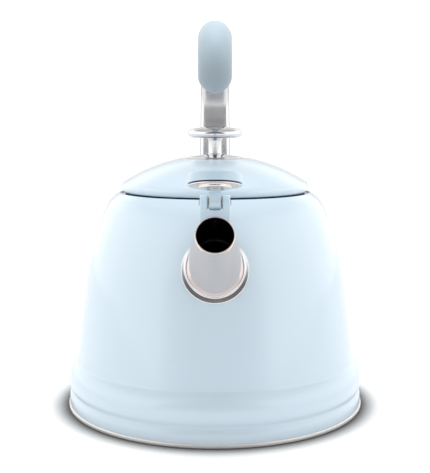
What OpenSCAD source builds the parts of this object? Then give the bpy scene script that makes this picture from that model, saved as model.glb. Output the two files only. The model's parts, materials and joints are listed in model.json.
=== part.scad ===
// Stovetop whistling kettle.
// Bell-shaped enamelled body on a steel base, lift-off domed lid with a spool knob,
// conical steel spout with a flip-up whistle cap, and a fixed rear handle whose grip hooks over the lid.
// Millimetres, +Z up, spout towards -Y, origin on the body axis in the plane the base stands on.

/* [Body] */
// Radius of the steel rim that the kettle stands on
base_r = 93.5; // [78:0.5:112]
// Height of the shoulder's top edge, where the lid sits
body_h = 134.9; // [118:0.1:162]
// Thickness of the body sheet
wall = 1.0; // [0.8:0.1:1.3]
// Lean of the straight flank from vertical, in degrees
flank_a = 7.7; // [6:0.1:9]
// Radius of the long upper flank arc
flank_arc = 195.5; // [180:0.5:220]
// Radius of the tight shoulder arc
shoulder_arc = 20; // [17:0.5:23]
// Height of the middle of the bead above the base
bead_z = 18.8; // [17:0.1:21]
// Radius of the bead's section
bead_arc = 15.6; // [14:0.1:17]

/* [Base] */
// Height of the bare steel rim
rim_h = 2.5; // [1.6:0.1:3]
// Thickness of the aluminium heat-spreading disc
core_t = 3.0; // [2.5:0.1:3.6]

/* [Lid] */
// Radial gap between the lid's edge and the shoulder's lip
lid_gap = 0.7; // [0.5:0.1:1.2]
// Radius of the lid's domed top
dome_arc = 106; // [90:1:130]
// Depth of the lid's spigot below its flange
spigot_h = 10; // [8:0.5:14]
// Radius of the knob's disc
knob_r = 16.9; // [14:0.1:20.3]
// Height of the gap between the knob's plate and its disc
knob_gap = 10.4; // [8.6:0.1:12.5]
// Radius of the knob's stem
stem_r = 4.1; // [3.6:0.1:4.9]

/* [Spout] */
// Outer radius of the spout's mouth
mouth_r = 10.2; // [8.5:0.1:12.2]
// Length of the spout's axis from the body wall to the middle of the mouth
spout_len = 53.2; // [45:0.1:64]
// Rise of the spout's axis, in degrees
spout_rise = 27.2; // [24:0.1:31]
// Half angle of the spout's cone, in degrees
spout_taper = 6; // [5:0.1:7]
// Thickness of the spout's sheet
spout_wall = 0.8; // [0.6:0.1:1]
// Radius of the flange round the spout's root
flange_r = 19; // [18.6:0.1:22]

/* [Whistle cap] */
// Outer radius of the cap
cap_r = 13.65; // [13:0.05:16.4]
// Height of the cap's blue shell
cap_h = 4.7; // [4:0.1:5.6]
// Opening angle of the stored pose, in degrees from closed
cap_open = 72; // [0:1:92]
// Radius of the hinge pin
pin_r = 1.5; // [1.25:0.05:1.8]
// Width of the cap's arm
arm_w = 5.9; // [5:0.1:7]

/* [Handle] */
// Radius of the round grip
grip_r = 9.8; // [8.2:0.1:11.7]
// Distance from the upright's centre line to the hook's centre line
handle_reach = 110; // [95:1:132]
// Clear height for the fingers, from the knob's top to the grip's highest underside
hand_gap = 44; // [40:0.5:53]
// Width of the upright at its foot
upright_w = 21.5; // [18:0.1:24]
// Thickness of the upright
upright_t = 9; // [8.8:0.1:10.8]

/* [Hidden] */
$fn = 96;

// Colours
enamel = [0.80, 0.88, 0.94];
steel = [0.78, 0.78, 0.79];
aluminium = [0.72, 0.73, 0.74];
silicone = [0.10, 0.12, 0.16];

// Clearances
rest_gap = 0.2;
hinge_play = 0.05;
cut_over = 1;

// Point and outline helpers
function polar(r, a) = [r * cos(a), r * sin(a)];
function arc(c, r, a0, a1, n) = [for (i = [0:n]) c + polar(r, a0 + (a1 - a0) * i / n)];
function reversed(p) = [for (i = [len(p) - 1:-1:0]) p[i]];
function angle_of(v) = atan2(v[1], v[0]);
// Centre of a circle that touches two outer circles, on the right of the line from the first
function nestle(c1, r1, c2, r2, r) =
    c1 + polar(r1 + r, angle_of(c2 - c1) - acos((pow(r1 + r, 2) + pow(norm(c2 - c1), 2)
    - pow(r2 + r, 2)) / (2 * norm(c2 - c1) * (r1 + r))));
// Quadrilateral between the two outer tangents of two circles
function belt(c1, r1, c2, r2) =
    let (a = angle_of(c2 - c1), b = acos((r1 - r2) / norm(c2 - c1)))
    [c1 + polar(r1, a + b), c2 + polar(r2, a + b), c2 + polar(r2, a - b), c1 + polar(r1, a - b)];

// Body wall: foot, waist, bead, fillet, flank and shoulder as tangent arcs, [radius, height]
foot_r = base_r - 0.7;
foot_arc = 6;
foot_c = [foot_r - foot_arc, 6.5];
bead_c = [foot_r + 0.5 - bead_arc, bead_z];
waist_arc = 2.5;
waist_c = nestle(foot_c, foot_arc, bead_c, bead_arc, waist_arc);
fillet_arc = 3;
flank_d = (foot_r - 0.35) * cos(flank_a);
bead_top_a = flank_a + acos((flank_d + fillet_arc - bead_c * polar(1, flank_a)) / (bead_arc + fillet_arc));
fillet_c = bead_c + polar(bead_arc + fillet_arc, bead_top_a);
shoulder_a = 22.8;
lip_a = 63.4;
flank_c_z = body_h - (flank_arc - shoulder_arc) * sin(shoulder_a) - shoulder_arc * sin(lip_a);
flank_c = [(flank_d - flank_arc - flank_c_z * sin(flank_a)) / cos(flank_a), flank_c_z];
shoulder_c = flank_c + polar(flank_arc - shoulder_arc, shoulder_a);
lip_r = shoulder_c[0] + shoulder_arc * cos(lip_a);

// Flank and shoulder line at depth t below the outer surface
function flank_line(t) = concat(
    [fillet_c + polar(fillet_arc + t, 180 + flank_a)],
    arc(flank_c, flank_arc - t, flank_a, shoulder_a, 14),
    arc(shoulder_c, shoulder_arc - t, shoulder_a, lip_a, 10));
// Whole wall line at depth t, from the foot to just short of the lip
function wall_line(t) = concat(
    [[foot_r - t, rim_h]],
    arc(foot_c, foot_arc - t, 0, angle_of(waist_c - foot_c), 4),
    arc(waist_c, waist_arc + t, 180 + angle_of(waist_c - foot_c), 180 + angle_of(waist_c - bead_c), 6),
    arc(bead_c, bead_arc - t, angle_of(waist_c - bead_c), bead_top_a, 12),
    arc(fillet_c, fillet_arc + t, 180 + bead_top_a, 180 + flank_a, 5),
    [for (i = [1:25]) flank_line(t)[i]]);
// Radius and normal angle of the upper flank at a height
function flank_angle(z) = asin((z - flank_c[1]) / flank_arc);

// Solid of revolution inside a line
module solid_inside(line) {
    rotate_extrude() polygon(concat([[0, line[0][1]]], line, [[0, line[len(line) - 1][1]]]));
}
module wall_solid(t) {
    solid_inside(wall_line(t));
}
// Sheet of thickness t on the outside of the flank and shoulder
module flank_band(t) {
    difference() {
        solid_inside(flank_line(-t));
        wall_solid(0);
    }
}

// Frame on the wall's outer surface at normal angle a: +Z is the outward normal
module on_rear_wall(a) {
    translate([0, flank_c[0] + flank_arc * cos(a), flank_c[1] + flank_arc * sin(a)])
        rotate([a - 90, 0, 0]) children();
}
module on_front_wall(a) {
    translate([0, -flank_c[0] - flank_arc * cos(a), flank_c[1] + flank_arc * sin(a)])
        rotate([90 - a, 0, 0]) children();
}
// Frame in which X is the kettle's Y, Y its Z and Z its X
module side_view() {
    rotate([90, 0, 90]) children();
}

// Base
cap_t = 0.8;
pocket_r = base_r - 5.5;
core_fit = 0.2;
floor_z = cap_t + core_t;
floor_t = 1.0;
floor_skirt = 1.0;
rim_round = 0.6;

module base_cap() {
    color(steel) rotate_extrude() polygon(concat(
        [[0, 0]],
        arc([base_r - rim_round, rim_round], rim_round, -90, 0, 4),
        arc([base_r - rim_round, rim_h - rim_round], rim_round, 0, 90, 4),
        [[pocket_r, rim_h], [pocket_r, cap_t], [0, cap_t]]));
}

module base_core() {
    color(aluminium) translate([0, 0, cap_t]) cylinder(h = core_t, r = pocket_r - core_fit);
}

module base_floor() {
    edge_r = foot_r - wall;
    color(steel) rotate_extrude() polygon([
        [0, floor_z], [edge_r - floor_skirt, floor_z], [edge_r - floor_skirt, rim_h], [edge_r, rim_h],
        [edge_r, floor_z + floor_t], [0, floor_z + floor_t]]);
}

// Body mouth: a ledge for the lid's seal and a short neck
ledge_z = body_h - 1.4;
neck_r = lip_r - 9.3;
neck_z = ledge_z - 7.5;

// Spout: a cone from the wall to the mouth. The mouth frame has +Z out of the mouth, +Y up across it
flange_z = body_h - 36.4;
flange_a = flank_angle(flange_z);
flange_y = -flank_c[0] - flank_arc * cos(flange_a);
mouth_y = flange_y - spout_len * cos(spout_rise);
mouth_z = flange_z + spout_len * sin(spout_rise);
mouth_tilt = 31;
root_h = 16;
mouth_over = 3;

module spout_frame() {
    translate([0, mouth_y, mouth_z]) rotate([90 - spout_rise, 0, 0]) children();
}
module mouth_frame() {
    translate([0, mouth_y, mouth_z]) rotate([90 - mouth_tilt, 0, 0]) children();
}
// Cone whose wall is inset by t, running past the mouth and into the body
module spout_cone(t) {
    spout_frame() translate([0, 0, -spout_len - root_h])
        cylinder(h = spout_len + root_h + mouth_over,
            r1 = mouth_r - t + (spout_len + root_h) * tan(spout_taper),
            r2 = mouth_r - t - mouth_over * tan(spout_taper));
}

module body_shell() {
    color(enamel) difference() {
        rotate_extrude() polygon(concat(wall_line(0),
            [[lip_r, body_h], [lip_r, ledge_z], [neck_r, ledge_z], [neck_r, neck_z], [neck_r + wall, neck_z],
            [neck_r + wall, ledge_z - wall], [lip_r, ledge_z - wall]],
            reversed(wall_line(wall))));
        spout_cone(0);
        foot_bores(screw_r + screw_fit, wall + cut_over, cut_over);
    }
}

module spout() {
    color(steel) difference() {
        spout_cone(0);
        spout_cone(spout_wall);
        mouth_frame() translate([0, 0, mouth_r * 2]) cube(mouth_r * 4, center = true);
        wall_solid(wall);
        bracket_rivet_bores();
    }
}

flange_t = 1.0;
flange_ring_t = 2.4;
flange_ring_r = 17.1;
flange_ring_rise = 0.6;
flange_drop = 1.1;
flange_reach = 12;

module flange_band(t, r, rise) {
    intersection() {
        flank_band(t);
        on_front_wall(flange_a) translate([0, rise, -flange_reach]) cylinder(h = 2 * flange_reach, r = r);
    }
}

module spout_flange() {
    color(steel) difference() {
        union() {
            flange_band(flange_t, flange_r, -flange_drop);
            flange_band(flange_ring_t, flange_ring_r, flange_ring_rise);
        }
        spout_cone(0);
    }
}

// Whistle bracket: a fork on top of the spout, drawn in the mouth frame as [out, up]
pivot_up = mouth_r + 10.3;
pivot_back = 5;
pivot = [-pivot_back, pivot_up];
prong_r = 4;
bracket_w = 15.7;
slot_w = 7.6;
slot_floor = mouth_r + 4.3;
bracket_front = -1;
bracket_back = -19;
bracket_low = mouth_r * 0.55;
bracket_back_up = mouth_r + 3.2;
rivet_r = 1.2;
rivet_head_r = 2.1;
rivet_head_t = 1.0;
rivet_top = slot_floor - 0.8;
rivet_backs = [5, 11];

// 2D outline given as [out, up], extruded to a width across the kettle
module across_mouth(w) {
    mouth_frame() rotate([0, -90, 0]) linear_extrude(w, center = true) children();
}

module whistle_bracket() {
    color(enamel) difference() {
        across_mouth(bracket_w) union() {
            translate(pivot) circle(r = prong_r);
            polygon([
                [bracket_front, bracket_low], [bracket_front, pivot_up], [-pivot_back - prong_r, pivot_up],
                [-pivot_back - prong_r, slot_floor], [bracket_back, bracket_back_up],
                [bracket_back, bracket_low]]);
        }
        across_mouth(slot_w) translate([2 * bracket_back, slot_floor]) square([-4 * bracket_back, pivot_up]);
        spout_cone(0);
        across_mouth(bracket_w + 2 * cut_over) translate(pivot) circle(r = pin_r);
        bracket_rivet_bores();
    }
}

module bracket_rivet_bores() {
    mouth_frame() for (b = rivet_backs)
        translate([0, 0, -b]) rotate([-90, 0, 0]) cylinder(h = rivet_top, r = rivet_r, $fn = 32);
}

module bracket_rivets() {
    color(steel) intersection() {
        mouth_frame() for (b = rivet_backs) translate([0, 0, -b]) rotate([-90, 0, 0]) union() {
            translate([0, 0, mouth_r - spout_wall - rivet_head_t])
                cylinder(h = rivet_top - mouth_r + spout_wall + rivet_head_t, r = rivet_r, $fn = 32);
            intersection() {
                translate([0, 0, mouth_r - spout_wall - rivet_head_t])
                    cylinder(h = 2 * rivet_head_t, r = rivet_head_r, $fn = 32);
                rotate([90, 0, 0]) translate([0, 0, b]) rivet_head_limit();
            }
        }
        mouth_frame() translate([-mouth_r, 0, 2 * bracket_back])
            cube([2 * mouth_r, 2 * mouth_r, -2 * bracket_back]);
    }
}
// Room inside the spout, seen from the mouth frame
module rivet_head_limit() {
    rotate([mouth_tilt - 90, 0, 0]) translate([0, -mouth_y, -mouth_z]) spout_cone(spout_wall);
}

module hinge_pin() {
    color(steel) across_mouth(bracket_w + 1.2) translate(pivot) circle(r = pin_r);
}

washer_t = (slot_w - arm_w) / 2 - 0.3;
module friction_washers() {
    color(steel) for (side = [-1, 1])
        mouth_frame() translate([side * (slot_w - washer_t) / 2, pivot_up, -pivot_back]) rotate([0, 90, 0])
            difference() {
                cylinder(h = washer_t, r = prong_r - 0.6, center = true);
                cylinder(h = washer_t + cut_over, r = pin_r, center = true);
            }
}

// Whistle cap, drawn closed in the mouth frame and turned about the pivot
face_gap = 0.3;
plate_t = 0.5;
gasket_t = 0.7;
shell_z = face_gap + plate_t + gasket_t;
cap_wall = 1.2;
plug_r = mouth_r - 2.0;
plug_h = 1.2;
whistle_hole_r = 1.5;
hub_r = pivot_up - slot_floor - 0.6;
arm_end_r = 2.2;
arm_end = [shell_z + cap_h / 2, cap_r - 1.6];
arm_clear = 0.4;
cup_r = cap_r - cap_wall - 0.05;
skirt_r = cup_r - 0.7;
gasket_r = cap_r - 0.75;
plate_r = cap_r - 0.35;
cup_top = shell_z + 1.6;

module cap_pose() {
    mouth_frame() translate([0, pivot_up, -pivot_back]) rotate([-cap_open, 0, 0])
        translate([0, -pivot_up, pivot_back]) children();
}
module cap_revolve(points) {
    cap_pose() rotate_extrude() polygon(points);
}

module cap_shell() {
    round = 1.2;
    color(enamel) union() {
        cap_revolve(concat(
            [[whistle_hole_r + 0.7, shell_z + cap_h]],
            arc([cap_r - round, shell_z + cap_h - round], round, 90, 0, 4),
            [[cap_r, shell_z], [cap_r - cap_wall, shell_z], [cap_r - cap_wall, shell_z + cap_h - cap_wall],
            [whistle_hole_r + 0.7, shell_z + cap_h - cap_wall]]));
        cap_pose() rotate([0, -90, 0]) linear_extrude(arm_w, center = true) difference() {
            union() {
                translate(pivot) circle(r = hub_r);
                translate(arm_end) circle(r = arm_end_r);
                polygon(belt(pivot, hub_r, arm_end, arm_end_r));
            }
            translate(pivot) circle(r = pin_r + hinge_play);
            translate([shell_z, 0]) square([cap_h - cap_wall, cap_r - cap_wall]);
            translate([shell_z - 2 * cap_r, 0]) square([2 * cap_r, cap_r]);
            translate([bracket_front + arm_clear - 2 * cap_r, 0]) square([2 * cap_r, slot_floor + arm_clear]);
        }
    }
}

module cap_gasket() {
    color(silicone) cap_revolve([
        [skirt_r, face_gap + plate_t], [gasket_r, face_gap + plate_t],
        [gasket_r, shell_z], [skirt_r, shell_z]]);
}

module whistle_plate() {
    color(steel) cap_revolve([
        [whistle_hole_r, face_gap - plug_h], [plug_r, face_gap - plug_h], [plug_r, face_gap],
        [plate_r, face_gap], [plate_r, face_gap + plate_t], [plug_r - plate_t, face_gap + plate_t],
        [plug_r - plate_t, face_gap - plug_h + plate_t], [whistle_hole_r, face_gap - plug_h + plate_t]]);
}

module whistle_cup() {
    color(steel) cap_revolve([
        [whistle_hole_r, cup_top], [skirt_r - plate_t, cup_top], [skirt_r - plate_t, face_gap + plate_t],
        [skirt_r, face_gap + plate_t], [skirt_r, cup_top], [cup_r, cup_top],
        [cup_r, cup_top + plate_t], [whistle_hole_r, cup_top + plate_t]]);
}

// Lid: rim bulge and dome as arcs, [radius, height]
lid_rim_arc = 4;
lid_rim_r = lip_r - lid_gap;
lid_rim_c = [lid_rim_r - lid_rim_arc, body_h + 3.0];
lid_low_a = -37;
crease_r = lid_rim_r - 1.6;
crease_a = acos((crease_r - lid_rim_c[0]) / lid_rim_arc);
crease_z = lid_rim_c[1] + lid_rim_arc * sin(crease_a);
dome_edge_a = acos(crease_r / dome_arc);
dome_c = [0, crease_z - dome_arc * sin(dome_edge_a)];
seat_r = knob_r + 4.5;
seat_a = acos(seat_r / dome_arc);
seat_z = dome_c[1] + dome_arc * sin(seat_a);
screw_hole_r = 2.2;
knob_screw_r = 2.0;

function lid_line(t) = concat(
    arc(lid_rim_c, lid_rim_arc - t, lid_low_a, crease_a, 9),
    arc(dome_c, dome_arc - t, dome_edge_a, seat_a, 12));

module lid_profile() {
    polygon(concat(
        lid_line(0), [[screw_hole_r, seat_z], [screw_hole_r, seat_z - wall]], reversed(lid_line(wall))));
}

module lid_shell() {
    color(enamel) rotate_extrude() lid_profile();
}

seal_t = 1.4;
ring_z = ledge_z + rest_gap + seal_t;
ring_t = 0.8;
spigot_r = neck_r - 0.7;
seal_r = lip_r - 3.0;

module lid_ring() {
    color(steel) rotate_extrude() difference() {
        polygon([
            [spigot_r - ring_t, ring_z + ring_t], [spigot_r - ring_t, ring_z + ring_t - spigot_h],
            [spigot_r, ring_z + ring_t - spigot_h], [spigot_r, ring_z], [seal_r, ring_z],
            [lid_rim_r, ring_z + ring_t], [lid_rim_r, ring_z + 3 * ring_t],
            [seal_r - 2 * ring_t, ring_z + 3 * ring_t], [seal_r - 2 * ring_t, ring_z + ring_t]]);
        difference() {
            translate([seal_r - 4 * ring_t, ledge_z]) square([lip_r, spigot_h]);
            polygon(concat([[0, ledge_z - wall], [lid_line(wall)[0][0], ledge_z - wall]], lid_line(wall),
                [[0, seat_z - wall]]));
        }
    }
}

module lid_seal() {
    color(silicone) rotate_extrude()
        translate([neck_r + 1.2, ledge_z + rest_gap]) square([seal_r - neck_r - 1.2, seal_t]);
}

// Knob on the lid's flat seat
plate_edge_t = 0.8;
plate_h = 2.4;
plate_top_r = stem_r + 0.7;
stem_z = seat_z + plate_h;
disc_z = stem_z + knob_gap;
disc_rim_h = 5.6;
disc_crown = 1.3;
knob_top = disc_z + disc_rim_h + disc_crown;
spigot_top_r = 2.9;
spigot_top_h = 3;
stem_crown = 2;
screw_short = stem_crown + 0.5;

module knob_plate() {
    color(steel) rotate_extrude() polygon([
        [screw_hole_r, seat_z], [knob_r - 0.3, seat_z], [knob_r, seat_z + plate_edge_t / 2],
        [knob_r - 0.3, seat_z + plate_edge_t], [plate_top_r, stem_z], [screw_hole_r, stem_z]]);
}

module knob_stem() {
    flare = 1.0;
    flare_h = 2.6;
    color(steel) rotate_extrude() polygon(concat(
        [[knob_screw_r, stem_z], [stem_r + 0.2, stem_z], [stem_r, stem_z + 0.4], [stem_r, disc_z - flare_h]],
        [for (i = [1:5]) [stem_r + flare * pow(i / 5, 2), disc_z - flare_h + flare_h * i / 5]],
        [[spigot_top_r, disc_z], [spigot_top_r, disc_z + spigot_top_h], [0, disc_z + spigot_top_h],
        [0, disc_z - stem_crown], [knob_screw_r, disc_z - stem_crown]]));
}

module knob_disc() {
    edge = disc_rim_h / 2;
    crown_arc = (pow(knob_r - edge, 2) + pow(disc_crown, 2)) / (2 * disc_crown);
    crown_c = [0, knob_top - crown_arc];
    crown_a = angle_of([knob_r - edge, disc_z + disc_rim_h] - crown_c);
    color(steel) difference() {
        rotate_extrude() polygon(concat(
            [[0, disc_z]],
            arc([knob_r - edge, disc_z + edge], edge, -90, 90, 12),
            arc(crown_c, crown_arc, crown_a, 90, 10)));
        translate([0, 0, disc_z - cut_over]) cylinder(h = spigot_top_h + cut_over, r = spigot_top_r);
    }
}

knob_washer_t = 1.2;
knob_washer_r = 9;
knob_head_r = 4.5;
knob_head_h = 3;
hex_r = 1.5;
hex_depth = 1.5;
module knob_washer() {
    color(steel) translate([0, 0, seat_z - wall - knob_washer_t]) difference() {
        cylinder(h = knob_washer_t, r = knob_washer_r);
        translate([0, 0, -cut_over]) cylinder(h = knob_washer_t + 2 * cut_over, r = screw_hole_r);
    }
}

module knob_screw() {
    under = seat_z - wall - knob_washer_t;
    color(steel) difference() {
        union() {
            translate([0, 0, under - knob_head_h]) cylinder(h = knob_head_h, r = knob_head_r);
            translate([0, 0, under - cut_over])
                cylinder(h = disc_z - screw_short - under + cut_over, r = knob_screw_r);
        }
        translate([0, 0, under - knob_head_h - cut_over])
            cylinder(h = cut_over + hex_depth, r = hex_r, $fn = 6);
    }
}

// Handle: an upright behind the lid, a rear bend, a long crown and a front hook
upright_y = lid_rim_r + 2.0 + upright_t / 2;
bend_arc = 40;
crown_slope = 8;
hook_arc = 15;
hook_over = 22;
hook_straight = 1.8;
grip_start = 32;
crown_arc_r = (handle_reach - (bend_arc + hook_arc) * (1 - sin(crown_slope))) / (2 * sin(crown_slope));
crown_top = knob_top + hand_gap + grip_r;
bend_c = [upright_y - bend_arc,
    crown_top - bend_arc * cos(crown_slope) - crown_arc_r * (1 - cos(crown_slope))];
crown_mid = bend_c - polar(crown_arc_r - bend_arc, 90 - crown_slope);
hook_c = crown_mid + polar(crown_arc_r - hook_arc, 90 + crown_slope);
tip_c = hook_c + polar(hook_arc, 180 + hook_over) + polar(hook_straight, hook_over - 90);
upright_top_w = 2 * grip_r - 0.8;
foot_t = 5;
foot_low = body_h - 50;
foot_low_r = 8;
bar_low = body_h - 22;
bar_taper_top = bend_c[1] + 20;
core_r = 3;
core_stub = 9;

// Stations along the handle's line: [centre, angle of the outward normal, radius]
function bend_stations(c, r, a0, a1, n, rad) = [for (i = [0:n])
    let (a = a0 + (a1 - a0) * i / n) [c + polar(r, a), a, rad]];
function handle_stations(rad, a1, n) = concat(
    bend_stations(bend_c, bend_arc, grip_start, 90 - crown_slope, n, rad),
    [for (s = bend_stations(crown_mid, crown_arc_r, 90 - crown_slope, 90 + crown_slope, n, rad))
        if (s[1] > 90 - crown_slope) s],
    [for (s = bend_stations(hook_c, hook_arc, 90 + crown_slope, a1, n, rad)) if (s[1] > 90 + crown_slope) s]);

// One closed tube through a list of stations, each a ring of points across the handle's line
module tube(stations, sides) {
    last = len(stations) - 1;
    points = [for (s = stations) for (k = [0:sides - 1])
        let (t = 360 * k / sides, q = s[0] + polar(s[2] * cos(t), s[1])) [s[2] * sin(t), q[0], q[1]]];
    function at(i, k) = i * sides + k % sides;
    faces = concat(
        [[for (k = [sides - 1:-1:0]) k]],
        [for (i = [0:last - 1]) for (k = [0:sides - 1]) [at(i, k), at(i, k + 1), at(i + 1, k)]],
        [for (i = [0:last - 1]) for (k = [0:sides - 1]) [at(i, k + 1), at(i + 1, k + 1), at(i + 1, k)]],
        [[for (k = [0:sides - 1]) at(last, k)]]);
    polyhedron(points, faces);
}

grip_edge = 1.5;
grip_sides = 32;
core_sides = 16;
core_end_a = 170;

module handle_grip() {
    hook_end_a = 180 + hook_over;
    first = handle_stations(grip_r, hook_end_a, 9);
    edge = bend_stations(bend_c, bend_arc, grip_start, grip_start + 1, 1, grip_r - grip_edge)[0];
    inset = bend_stations(bend_c, bend_arc, grip_start + 0.7, grip_start + 1, 1,
        grip_r - 0.45 * grip_edge)[0];
    full = bend_stations(bend_c, bend_arc, grip_start + 2.2, grip_start + 3, 1, grip_r)[0];
    tip = [for (b = [0:12:84]) [tip_c + polar(grip_r * sin(b), hook_over - 90), hook_end_a, grip_r * cos(b)]];
    color(enamel) difference() {
        tube(concat([edge, inset, full], [for (s = first) if (s[1] > grip_start + 3) s], tip), grip_sides);
        core_tube(cut_over);
    }
}

// Steel core: a straight stub inside the upright, then along the grip's line
module core_tube(stub) {
    start = bend_c + polar(bend_arc, grip_start) + polar(stub, grip_start - 90);
    tube(concat([[start, grip_start, core_r]], handle_stations(core_r, core_end_a, 7)), core_sides);
}
// Round bar along the upright's end, from h below the grip's end face to over above it
module core_stub_bar(r, h, over) {
    side_view() translate([bend_c[0], bend_c[1], 0]) rotate([0, 0, grip_start])
        translate([bend_arc, over, 0]) rotate([90, 0, 0]) cylinder(h = h + over, r = r);
}

module handle_core() {
    color(steel) difference() {
        core_tube(core_stub);
        core_screw_bar(0);
    }
}

// Set screw from the upright's rear face into the core's stub
set_screw_r = 1.5;
set_screw_sunk = 0.4;
module core_screw_bar(over) {
    side_view() translate([bend_c[0], bend_c[1], 0]) rotate([0, 0, grip_start])
        translate([bend_arc, -core_stub / 2, 0]) rotate([0, 90, 0])
            cylinder(h = upright_t / 2 - set_screw_sunk + over, r = set_screw_r, $fn = 32);
}
module core_screw() {
    color(steel) core_screw_bar(0);
}

// Front outline of the upright and foot, in X and Z
module upright_front() {
    polygon(concat(
        arc([upright_w / 2 - foot_low_r, foot_low + foot_low_r], foot_low_r, -90, 0, 6),
        [[upright_w / 2, body_h], [upright_top_w / 2, bar_taper_top], [upright_top_w / 2, crown_top],
        [-upright_top_w / 2, crown_top], [-upright_top_w / 2, bar_taper_top], [-upright_w / 2, body_h]],
        arc([foot_low_r - upright_w / 2, foot_low + foot_low_r], foot_low_r, 180, 270, 6)));
}

module upright_side() {
    polygon(concat(
        [[upright_y + upright_t / 2, bar_low], [upright_y + upright_t / 2, bend_c[1]]],
        arc(bend_c, bend_arc + upright_t / 2, 0, grip_start, 6),
        arc(bend_c, bend_arc - upright_t / 2, grip_start, 0, 6),
        [[upright_y - upright_t / 2, bar_low]]));
}

module upright_trim() {
    translate([0, base_r * 2, 0]) rotate([90, 0, 0]) linear_extrude(base_r * 2) upright_front();
}

module handle_upright() {
    color(steel) difference() {
        union() {
            intersection() {
                side_view() linear_extrude(2 * upright_w, center = true) upright_side();
                upright_trim();
            }
            intersection() {
                flank_band(foot_t);
                translate([-upright_w, upright_y, foot_low - foot_t]) cube([upright_w * 2, base_r, body_h]);
                upright_trim();
            }
        }
        wall_solid(0);
        foot_bores(screw_r, cut_over, screw_bite);
        core_stub_bar(core_r, core_stub, cut_over);
        core_screw_bar(set_screw_sunk + cut_over);
    }
}

// Two screws from inside the body hold the foot
screw_r = 2.0;
screw_fit = 0.2;
screw_bite = 4;
screw_head_r = 3.8;
screw_head_h = 2.4;
backing_t = 1.5;
backing_w = 16;
seal_washer_t = 1.2;
seal_washer_r = 4.4;
screw_angles = [flank_angle(body_h - 39), flank_angle(body_h - 22)];

module foot_bores(r, inward, outward) {
    for (a = screw_angles) on_rear_wall(a) translate([0, 0, -inward])
        cylinder(h = inward + outward, r = r, $fn = 48);
}

module handle_backing_plate() {
    color(steel) difference() {
        intersection() {
            wall_solid(wall);
            translate([0, base_r * 2, 0]) rotate([90, 0, 0]) linear_extrude(base_r * 2)
                translate([-backing_w / 2, body_h - 48]) square([backing_w, 35]);
        }
        wall_solid(wall + backing_t);
        foot_bores(screw_r + screw_fit, wall + backing_t + 2 * cut_over, cut_over);
        seal_seats();
    }
}

// Flat seats for the seal washers, cut just below the plate's curved inner face
seat_cut = 0.2;
module seal_seats() {
    for (a = screw_angles) on_rear_wall(a) translate([0, 0, -wall - backing_t + seat_cut - seal_washer_t])
        cylinder(h = seal_washer_t, r = seal_washer_r + 0.3, $fn = 48);
}

module screw_seals() {
    color(silicone) for (a = screw_angles) on_rear_wall(a)
        translate([0, 0, -wall - backing_t + seat_cut - seal_washer_t]) difference() {
            cylinder(h = seal_washer_t, r = seal_washer_r, $fn = 48);
            translate([0, 0, -cut_over]) cylinder(h = seal_washer_t + 2 * cut_over, r = screw_r, $fn = 48);
        }
}

module handle_screws() {
    depth = wall + backing_t - seat_cut + seal_washer_t;
    color(steel) for (a = screw_angles) on_rear_wall(a) union() {
        translate([0, 0, -depth]) cylinder(h = depth + screw_bite, r = screw_r, $fn = 48);
        translate([0, 0, -depth - screw_head_h]) cylinder(h = screw_head_h, r = screw_head_r, $fn = 48);
    }
}

base_cap();
base_core();
base_floor();
body_shell();
spout();
spout_flange();
whistle_bracket();
bracket_rivets();
hinge_pin();
friction_washers();
handle_upright();
handle_backing_plate();
handle_screws();
screw_seals();
handle_core();
core_screw();
handle_grip();
lid_shell();
lid_ring();
lid_seal();
knob_plate();
knob_stem();
knob_disc();
knob_washer();
knob_screw();
cap_shell();
cap_gasket();
whistle_plate();
whistle_cup();
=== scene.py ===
# %% [markdown]
# # A stovetop whistling kettle
# A bell of pressed steel with a glossy pale blue coat stands on a bare steel base. A domed lid with a
# polished spool knob sits in its mouth, a steel spout leaves its front, and a hooked grip arches over it.
# The solid model comes first, because every visible piece has to sit exactly where the working part sits.

# %% Load the solid model as the frame
import json
import math

import bmesh
import bpy
from mathutils import Matrix, Vector


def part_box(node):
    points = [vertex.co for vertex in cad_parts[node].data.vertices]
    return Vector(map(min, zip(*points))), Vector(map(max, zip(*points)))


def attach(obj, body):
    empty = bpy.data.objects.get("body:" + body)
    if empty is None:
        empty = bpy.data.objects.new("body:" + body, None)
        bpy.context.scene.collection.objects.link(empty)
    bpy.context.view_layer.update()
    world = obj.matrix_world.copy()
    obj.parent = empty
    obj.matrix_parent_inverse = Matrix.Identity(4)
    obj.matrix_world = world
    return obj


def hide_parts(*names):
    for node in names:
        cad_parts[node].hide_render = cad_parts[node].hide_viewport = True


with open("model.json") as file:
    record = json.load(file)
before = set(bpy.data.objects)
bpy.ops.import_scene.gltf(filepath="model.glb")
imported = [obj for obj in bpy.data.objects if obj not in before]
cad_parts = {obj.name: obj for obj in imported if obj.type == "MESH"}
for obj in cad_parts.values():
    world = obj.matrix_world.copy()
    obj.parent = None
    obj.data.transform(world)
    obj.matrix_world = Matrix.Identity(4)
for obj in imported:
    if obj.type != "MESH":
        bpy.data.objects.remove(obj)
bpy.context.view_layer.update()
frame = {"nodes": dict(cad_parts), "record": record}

# %% [markdown]
# ## Measures
# All shapes below are drawn in millimetres, as on a maker's drawing, and turned to metres when a mesh is
# made. Outlines are lines and arcs, so a few angles and radii describe each one.

# %% Points on circles
MM = 0.001


def polar(radius, angle):
    """A point at a distance and an angle in degrees from the middle."""
    return Vector((radius * math.cos(math.radians(angle)), radius * math.sin(math.radians(angle))))


def arc(centre, radius, start, end, steps):
    """Points of an arc from one angle to another, both in degrees."""
    return [Vector(centre) + polar(radius, start + (end - start) * i / steps) for i in range(steps + 1)]


def angle_of(v):
    """The direction of a flat vector, in degrees."""
    return math.degrees(math.atan2(v[1], v[0]))


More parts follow.
